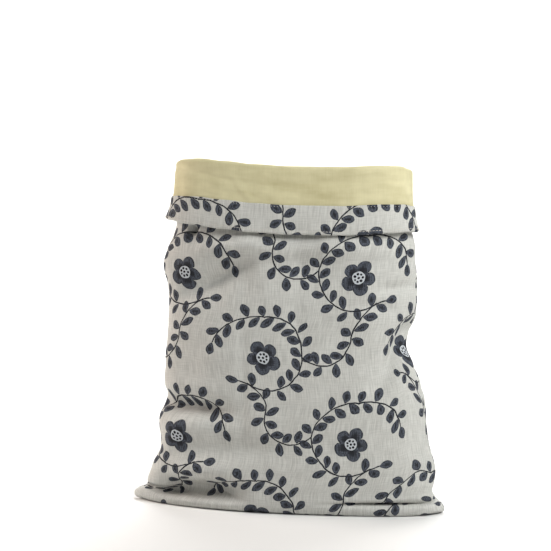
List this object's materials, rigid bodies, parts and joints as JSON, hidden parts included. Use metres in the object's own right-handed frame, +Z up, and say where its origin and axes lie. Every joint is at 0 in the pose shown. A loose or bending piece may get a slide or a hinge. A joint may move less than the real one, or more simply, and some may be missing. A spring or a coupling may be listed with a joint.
{
  "type": "bread bag",
  "caption": "Lined cloth bread bag, standing open and filled out, its mouth turned down once as a cuff that shows the plain lining over a printed hem.",
  "frame": {"origin": "on the ground under the middle of the bag, on the flat underside of the front panel", "axes": "+Z up to the mouth, -Y out of the front, +X to the right as the front is seen"},
  "size_m": [0.3071, 0.0976, 0.336],
  "materials": {
    "outer_cloth": "matt linen weave with a slate blue flower and leaf print",
    "lining": "smooth matt plain cloth, pale yellow"
  },
  "bodies": {
    "root": {"front_panel": "outer_cloth", "back_panel": "outer_cloth", "lining_front": "lining", "lining_back": "lining"}
  },
  "joints": []
}
